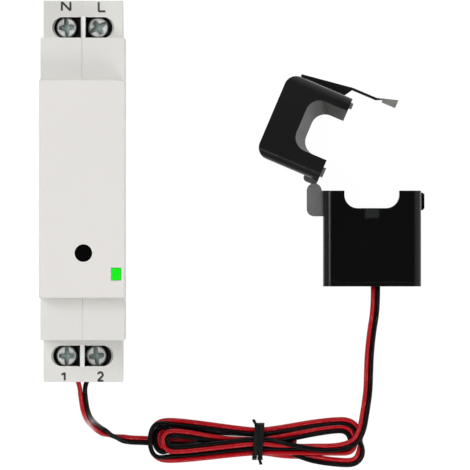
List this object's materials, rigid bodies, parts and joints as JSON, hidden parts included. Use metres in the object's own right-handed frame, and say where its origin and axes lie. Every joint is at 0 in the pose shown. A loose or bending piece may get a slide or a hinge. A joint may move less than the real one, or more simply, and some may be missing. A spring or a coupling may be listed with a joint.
{
  "type": "smart energy monitor",
  "caption": "DIN-rail energy monitor with screw terminals, a pairing button and a light, wired to a hinged split-core current transformer by a hanked twin lead.",
  "frame": {"origin": "middle of the monitor and the open current transformer together, on the surface they lie on", "axes": "+Z out of the monitor's front, +Y towards its N and L terminals, +X from the monitor to the current transformer"},
  "size_m": [0.0806, 0.0979, 0.066],
  "materials": {
    "housing_grey": "fine matt moulded",
    "cover_grey": "fine matt moulded",
    "button_black": "satin",
    "light_green": "clear, lit green",
    "ct_black": "gloss moulded",
    "ct_trim": "satin",
    "hinge_grey": "satin",
    "steel": "plain",
    "screw_zinc": "zinc plated",
    "core_steel": "ground",
    "ferrite": "sintered",
    "brass": "plain",
    "copper": "tinned copper",
    "winding_copper": "enamelled wire",
    "winding_tape": "polyester tape",
    "former_white": "moulded",
    "board_green": "solder resist",
    "component_black": "moulded",
    "component_blue": "dipped lacquer",
    "component_brown": "cement coated",
    "wire_red": "PVC insulation",
    "wire_black": "PVC insulation",
    "tie_black": "plastic coated wire"
  },
  "bodies": {
    "base": {"board_header": "component_black", "button_switch": "component_black", "clip_spring": "steel", "coil_former": "former_white", "contact_bar_1": "brass", "contact_bar_2": "brass", "contact_bar_l": "brass", "contact_bar_n": "brass", "core_retainer": "ct_trim", "ct_base_plate": "ct_black", "ct_clamp_diode": "component_black", "ct_hinge_bracket": "hinge_grey", "ct_hinge_pin": "steel", "ct_lead_bush": "ct_trim", "ct_lower_case": "ct_black", "ct_solder_board": "board_green", "front_board": "board_green", "front_cover": "cover_grey", "fuse_resistor": "component_brown", "hank_tie": "tie_black", "housing_left": "housing_grey", "housing_right": "housing_grey", "housing_rivets": "steel", "lead_ct_run": "wire_red", "lead_hank": "wire_red", "lead_meter_run": "wire_red", "lead_tails": "wire_black", "light_window": "light_green", "lower_core": "core_steel", "main_board": "board_green", "metering_chip": "component_black", "radio_module": "board_green", "radio_shield": "steel", "secondary_winding": "winding_copper", "smoothing_capacitors": "component_black", "status_led": "light_green", "surge_varistor": "component_blue", "transformer_coil": "winding_tape", "transformer_core": "ferrite", "wire_cores": "copper"},
    "button": {"pairing_button": "button_black", "switch_plunger": "button_black"},
    "clip": {"rail_clip": "housing_grey"},
    "lid": {"ct_upper_case": "ct_black", "ct_upper_cover": "ct_black", "upper_core": "core_steel", "core_leaf_spring": "steel"},
    "latch": {"ct_latch_strap": "ct_black"},
    "screw_n": {"terminal_screw_n": "screw_zinc"},
    "cage_n": {"terminal_cage_n": "steel"},
    "screw_l": {"terminal_screw_l": "screw_zinc"},
    "cage_l": {"terminal_cage_l": "steel"},
    "screw_1": {"terminal_screw_1": "screw_zinc"},
    "cage_1": {"terminal_cage_1": "steel"},
    "screw_2": {"terminal_screw_2": "screw_zinc"},
    "cage_2": {"terminal_cage_2": "steel"}
  },
  "joints": [
    {"name": "button_press", "type": "slide", "parent": "base", "child": "button", "axis": [0, 0, 1], "range_m": [-0.00035, 0], "stiffness_N_per_m": 3000, "springref_m": 0.0001},
    {"name": "clip_slide", "type": "slide", "parent": "base", "child": "clip", "axis": [0, 1, 0], "range_m": [-0.0035, 0], "stiffness_N_per_m": 800, "springref_m": 0.003, "deforming": ["clip_spring"]},
    {"name": "ct_hinge", "type": "hinge", "parent": "base", "child": "lid", "pos_m": [0.0171, 0.00021, 0.009], "axis": [0, 0, 1], "range_deg": [-67, 25]},
    {"name": "latch_flex", "type": "hinge", "parent": "lid", "child": "latch", "pos_m": [0.01496, 0.02382, 0.009], "axis": [0, 0, 1], "range_deg": [0, 6], "stiffness_Nm_per_rad": 0.05},
    {"name": "screw_n_turn", "type": "hinge", "parent": "base", "child": "screw_n", "pos_m": [-0.03474, 0.03422, 0.0419], "axis": [0, 0, 1], "range_deg": [-1800, 0]},
    {"name": "cage_n_rise", "type": "slide", "parent": "base", "child": "cage_n", "axis": [0, 0, 1], "range_m": [0, 0.0035]},
    {"name": "screw_l_turn", "type": "hinge", "parent": "base", "child": "screw_l", "pos_m": [-0.02817, 0.03422, 0.0419], "axis": [0, 0, 1], "range_deg": [-1800, 0]},
    {"name": "cage_l_rise", "type": "slide", "parent": "base", "child": "cage_l", "axis": [0, 0, 1], "range_m": [0, 0.0035]},
    {"name": "screw_1_turn", "type": "hinge", "parent": "base", "child": "screw_1", "pos_m": [-0.03472, -0.03438, 0.0419], "axis": [0, 0, 1], "range_deg": [0, 1800]},
    {"name": "cage_1_rise", "type": "slide", "parent": "base", "child": "cage_1", "axis": [0, 0, 1], "range_m": [-0.0035, 0]},
    {"name": "screw_2_turn", "type": "hinge", "parent": "base", "child": "screw_2", "pos_m": [-0.02856, -0.03438, 0.0419], "axis": [0, 0, 1], "range_deg": [0, 1800]},
    {"name": "cage_2_rise", "type": "slide", "parent": "base", "child": "cage_2", "axis": [0, 0, 1], "range_m": [-0.0035, 0]}
  ],
  "couplings": [
    {"joint": "screw_n_turn", "follows": "cage_n_rise", "rad_per_m": -8976},
    {"joint": "screw_l_turn", "follows": "cage_l_rise", "rad_per_m": -8976},
    {"joint": "screw_1_turn", "follows": "cage_1_rise", "rad_per_m": -8976},
    {"joint": "screw_2_turn", "follows": "cage_2_rise", "rad_per_m": -8976}
  ]
}
